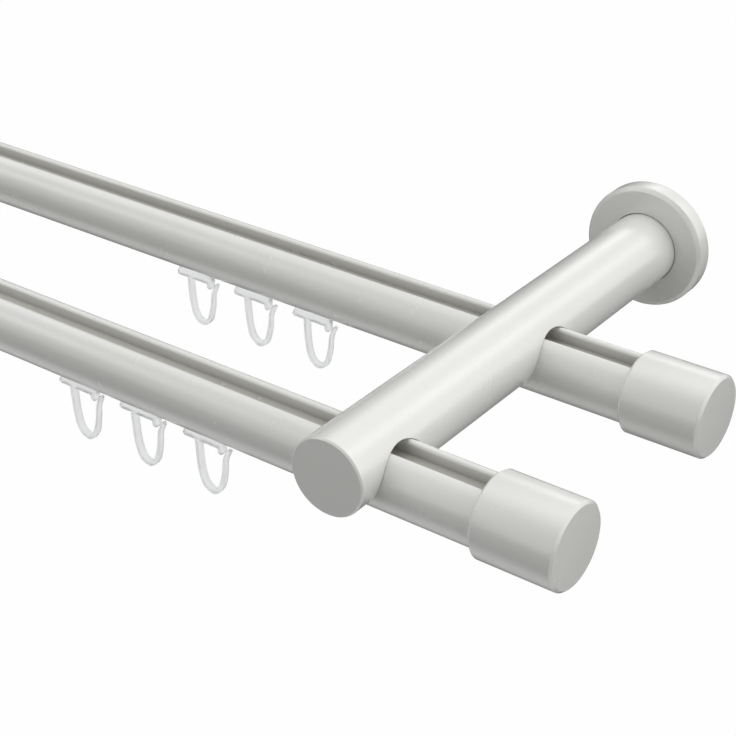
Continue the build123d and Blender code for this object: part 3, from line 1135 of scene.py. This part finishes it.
@dataclass
class Studio:
    """A plain pale floor far below the set, and soft lights all round it, brightest overhead."""

    floor_drop: float = 0.8  # metres below the set
    floor_size: float = 60.0  # metres, so that its far edge isn't seen from above
    floor_colour: str = "#E6E6E5"  # in a strip along the set
    far_colour: str = "#6E6E6E"  # away from it, where less light falls
    floor_ahead: float = 0.22  # metres from the set's middle to the strip's, towards the room
    floor_fade: tuple[float, float] = (0.12, 0.55)  # metres from the strip's middle over which it darkens
    floor_white: float = 0.99  # share of plain white that the camera sees on the floor and round it
    level: float = 0.905  # scales all lights together
    lights: tuple[Glow, ...] = (
        Glow("overhead", (0.10, 0.23, 0.97), 7.0, 1.68),
        Glow("overhead_left", (-0.47, -0.10, 0.88), 7.0, 1.12),
        Glow("right", (0.95, 0.28, 0.12), 4.0, 2.4),
        Glow("front_low", (-0.33, -0.95, 0.06), 6.0, 1.2),
        Glow("back_low", (0.0, 0.97, 0.22), 6.0, 0.6),
        Glow("streak_back_right", (0.36, 0.72, 0.60), 70.0, 1.6),
        Glow("streak_back_left", (-0.34, 0.80, 0.50), 70.0, 1.7),
        Glow("streak_front_left", (-0.69, -0.56, 0.45), 70.0, 2.2),
        Glow("streak_left", (-0.69, -0.10, 0.71), 70.0, 1.5))

    def build(self) -> None:
        """Makes the floor and the lights round the set."""
        low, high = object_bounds()
        self.floor(low.z - self.floor_drop, (low.y + high.y) / 2 - self.floor_ahead)
        self.sky()
        bpy.context.scene.view_settings.view_transform = "Standard"

    def floor(self, height: float, centre: float) -> None:
        """Makes the floor: one large square whose paint shows near white but keeps the shadow.

        A camera below it looks through it, so that the set's underside can be seen.

        Args:
            height: the floor's height in metres.
            centre: the middle of its pale strip, towards the wall, in metres.
        """
        half = self.floor_size / 2
        mesh = bpy.data.meshes.new("floor")
        corners = [(-half, -half, height), (half, -half, height), (half, half, height), (-half, half, height)]
        mesh.from_pydata(corners, [], [(0, 1, 2, 3)])
        material = bpy.data.materials.new("pale_floor_paint")
        material.use_nodes = True
        tree = material.node_tree
        tree.nodes.clear()
        share = add_node(tree, "ShaderNodeMath", {1: self.floor_white}, {0: seen_directly(tree)},
                         operation="MULTIPLY")
        place = add_node(tree, "ShaderNodeTexCoord").outputs["Object"]
        depth = add_node(tree, "ShaderNodeSeparateXYZ", links={0: place}).outputs["Y"]
        offset = add_node(tree, "ShaderNodeMath", {1: centre}, {0: depth}, operation="SUBTRACT")
        away = add_node(tree, "ShaderNodeMath", links={0: offset.outputs[0]}, operation="ABSOLUTE")
        near, far = self.floor_fade
        fade = add_node(tree, "ShaderNodeMapRange", {"From Min": near, "From Max": far},
                        {"Value": away.outputs[0]}, interpolation_type="SMOOTHSTEP")
        tone = add_node(tree, "ShaderNodeMix", {6: linear(self.floor_colour), 7: linear(self.far_colour)},
                        {"Factor": fade.outputs["Result"]}, data_type="RGBA")
        paint = add_node(tree, "ShaderNodeBsdfDiffuse", links={"Color": tone.outputs[2]})
        white = add_node(tree, "ShaderNodeEmission", {"Color": WHITE, "Strength": 1.0})
        above = add_node(tree, "ShaderNodeMixShader",
                         links={0: share.outputs[0], 1: paint.outputs[0], 2: white.outputs[0]})
        back = add_node(tree, "ShaderNodeNewGeometry").outputs["Backfacing"]
        camera = add_node(tree, "ShaderNodeLightPath").outputs["Is Camera Ray"]
        below = add_node(tree, "ShaderNodeMath", links={0: back, 1: camera}, operation="MULTIPLY")
        nothing = add_node(tree, "ShaderNodeBsdfTransparent")
        both = add_node(tree, "ShaderNodeMixShader",
                        links={0: below.outputs[0], 1: above.outputs[0], 2: nothing.outputs[0]})
        add_node(tree, "ShaderNodeOutputMaterial", links={"Surface": both.outputs[0]})
        mesh.materials.append(material)
        floor = bpy.data.objects.new("floor", mesh)
        bpy.context.scene.collection.objects.link(floor)
        floor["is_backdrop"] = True

    def sky(self) -> None:
        """Makes the surroundings: the soft lights' sum by direction, and plain white for the camera."""
        world = bpy.data.worlds.new("soft_studio")
        bpy.context.scene.world = world
        world.use_nodes = True
        tree = world.node_tree
        tree.nodes.clear()
        way = add_node(tree, "ShaderNodeTexCoord").outputs["Generated"]
        total = None
        for light in self.lights:
            total = light.add(tree, way, total)
        scaled = add_node(tree, "ShaderNodeMath", {1: self.level}, {0: total}, operation="MULTIPLY")
        shown = add_node(tree, "ShaderNodeMix", {3: self.floor_white},
                         {0: seen_directly(tree), 2: scaled.outputs[0]}, data_type="FLOAT")
        backdrop = add_node(tree, "ShaderNodeBackground", {"Color": WHITE}, {"Strength": shown.outputs[0]})
        add_node(tree, "ShaderNodeOutputWorld", links={"Surface": backdrop.outputs[0]})


@dataclass
class Camera:
    """The photograph's viewpoint, found from its perspective: near the right end, above and in front."""

    place: tuple[float, float, float] = (660.93, -448.73, 236.56)  # millimetres
    heading: float = 36.497  # degrees from straight at the wall, turned to the left
    pitch: float = 29.944  # degrees below level
    lens: float = 83.874  # millimetres, as the sensor
    sensor: float = 36.0

    def build(self) -> None:
        """Makes the camera and gives it to the scene."""
        data = bpy.data.cameras.new("camera")
        data.lens = self.lens
        data.sensor_width = self.sensor
        holder = bpy.data.objects.new("camera", data)
        bpy.context.scene.collection.objects.link(holder)
        holder.location = tuple(np.array(self.place) * MM)
        holder.rotation_euler = (math.radians(90 - self.pitch), 0.0, math.radians(self.heading))
        bpy.context.scene.camera = holder


def main() -> None:
    """Loads the frame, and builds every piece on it."""
    logging.basicConfig(level=logging.INFO, format="%(name)s: %(message)s")
    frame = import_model()
    paints = Paintbox({})
    for row in Row:
        Pole(row).build(paints)
        for hand in Hand:
            EndCap(hand, row).build(paints)
    for hand in Hand:
        Rosette(hand).build(paints)
        BracketArm(hand).build(paints)
    for name in sorted(frame["nodes"]):
        if "glider" in name:
            row, _, number = name.split("_")
            Glider(Row(row), int(number)).build(paints)
    HiddenMetal().dress(frame["nodes"], paints)
    Camera().build()
    Studio().build()


if __name__ == "__main__":
    main()
